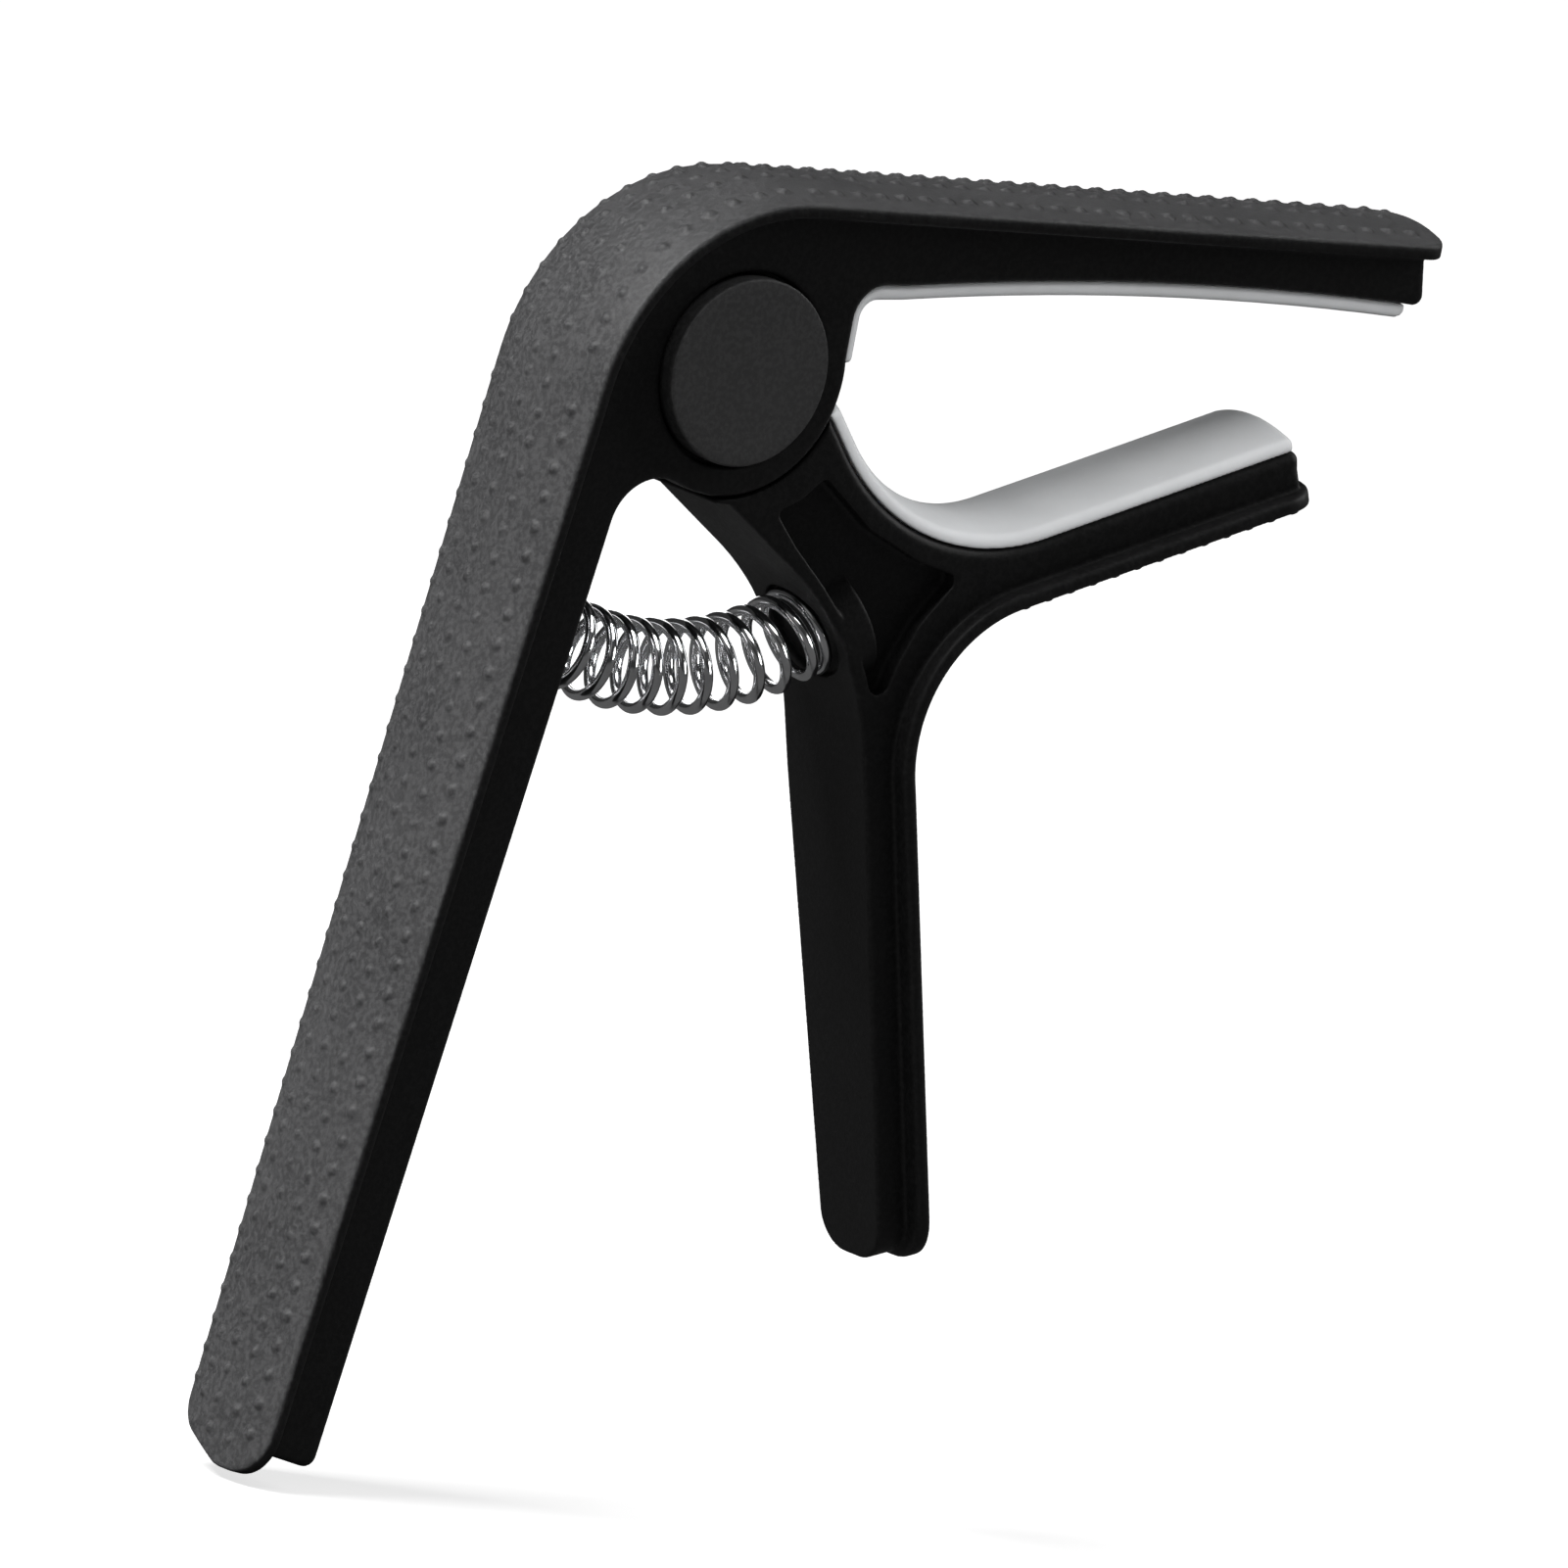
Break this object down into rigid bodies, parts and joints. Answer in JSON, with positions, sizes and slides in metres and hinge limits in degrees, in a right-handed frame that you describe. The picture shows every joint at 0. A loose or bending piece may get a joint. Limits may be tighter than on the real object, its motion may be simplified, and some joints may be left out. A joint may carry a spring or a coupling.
{
  "type": "guitar capo",
  "caption": "Spring-loaded trigger capo: fixed string bar and handle, pivoting neck jaw and trigger, curved coil spring, soft contact pads.",
  "frame": {"origin": "crown of the string pad's contact face, on the capo's mid plane, where the pad lies on the strings", "axes": "+X along the string bar towards its tip, +Y along the pivot pin, +Z away from the strings, square to the string bar"},
  "size_m": [0.0849, 0.0126, 0.096],
  "materials": {
    "moulded_body": "fine-grained moulded black",
    "silicone_pad": "satin light grey silicone",
    "spring_steel": "bright",
    "pin_steel": "ground",
    "bush_brass": "machined",
    "washer_nylon": "natural nylon",
    "ring_steel": "dark phosphate",
    "cap_plastic": "fine-grained black"
  },
  "bodies": {
    "frame": {"main_lever": "moulded_body", "string_pad": "silicone_pad", "compression_spring": "spring_steel", "pivot_pin": "pin_steel", "front_thrust_washer": "washer_nylon", "rear_thrust_washer": "washer_nylon", "front_retaining_ring": "ring_steel", "rear_retaining_ring": "ring_steel", "front_pivot_cap": "cap_plastic", "rear_pivot_cap": "cap_plastic"},
    "trigger": {"trigger_lever": "moulded_body", "neck_pad": "silicone_pad", "pivot_bush": "bush_brass"}
  },
  "joints": [
    {"name": "trigger_pivot", "type": "hinge", "parent": "frame", "child": "trigger", "pos_m": [-0.043, 0, -0.00715], "axis": [0, 1, 0], "range_deg": [0, 22], "stiffness_Nm_per_rad": 0.8, "springref_deg": -25.21, "deforming": ["compression_spring"]}
  ]
}
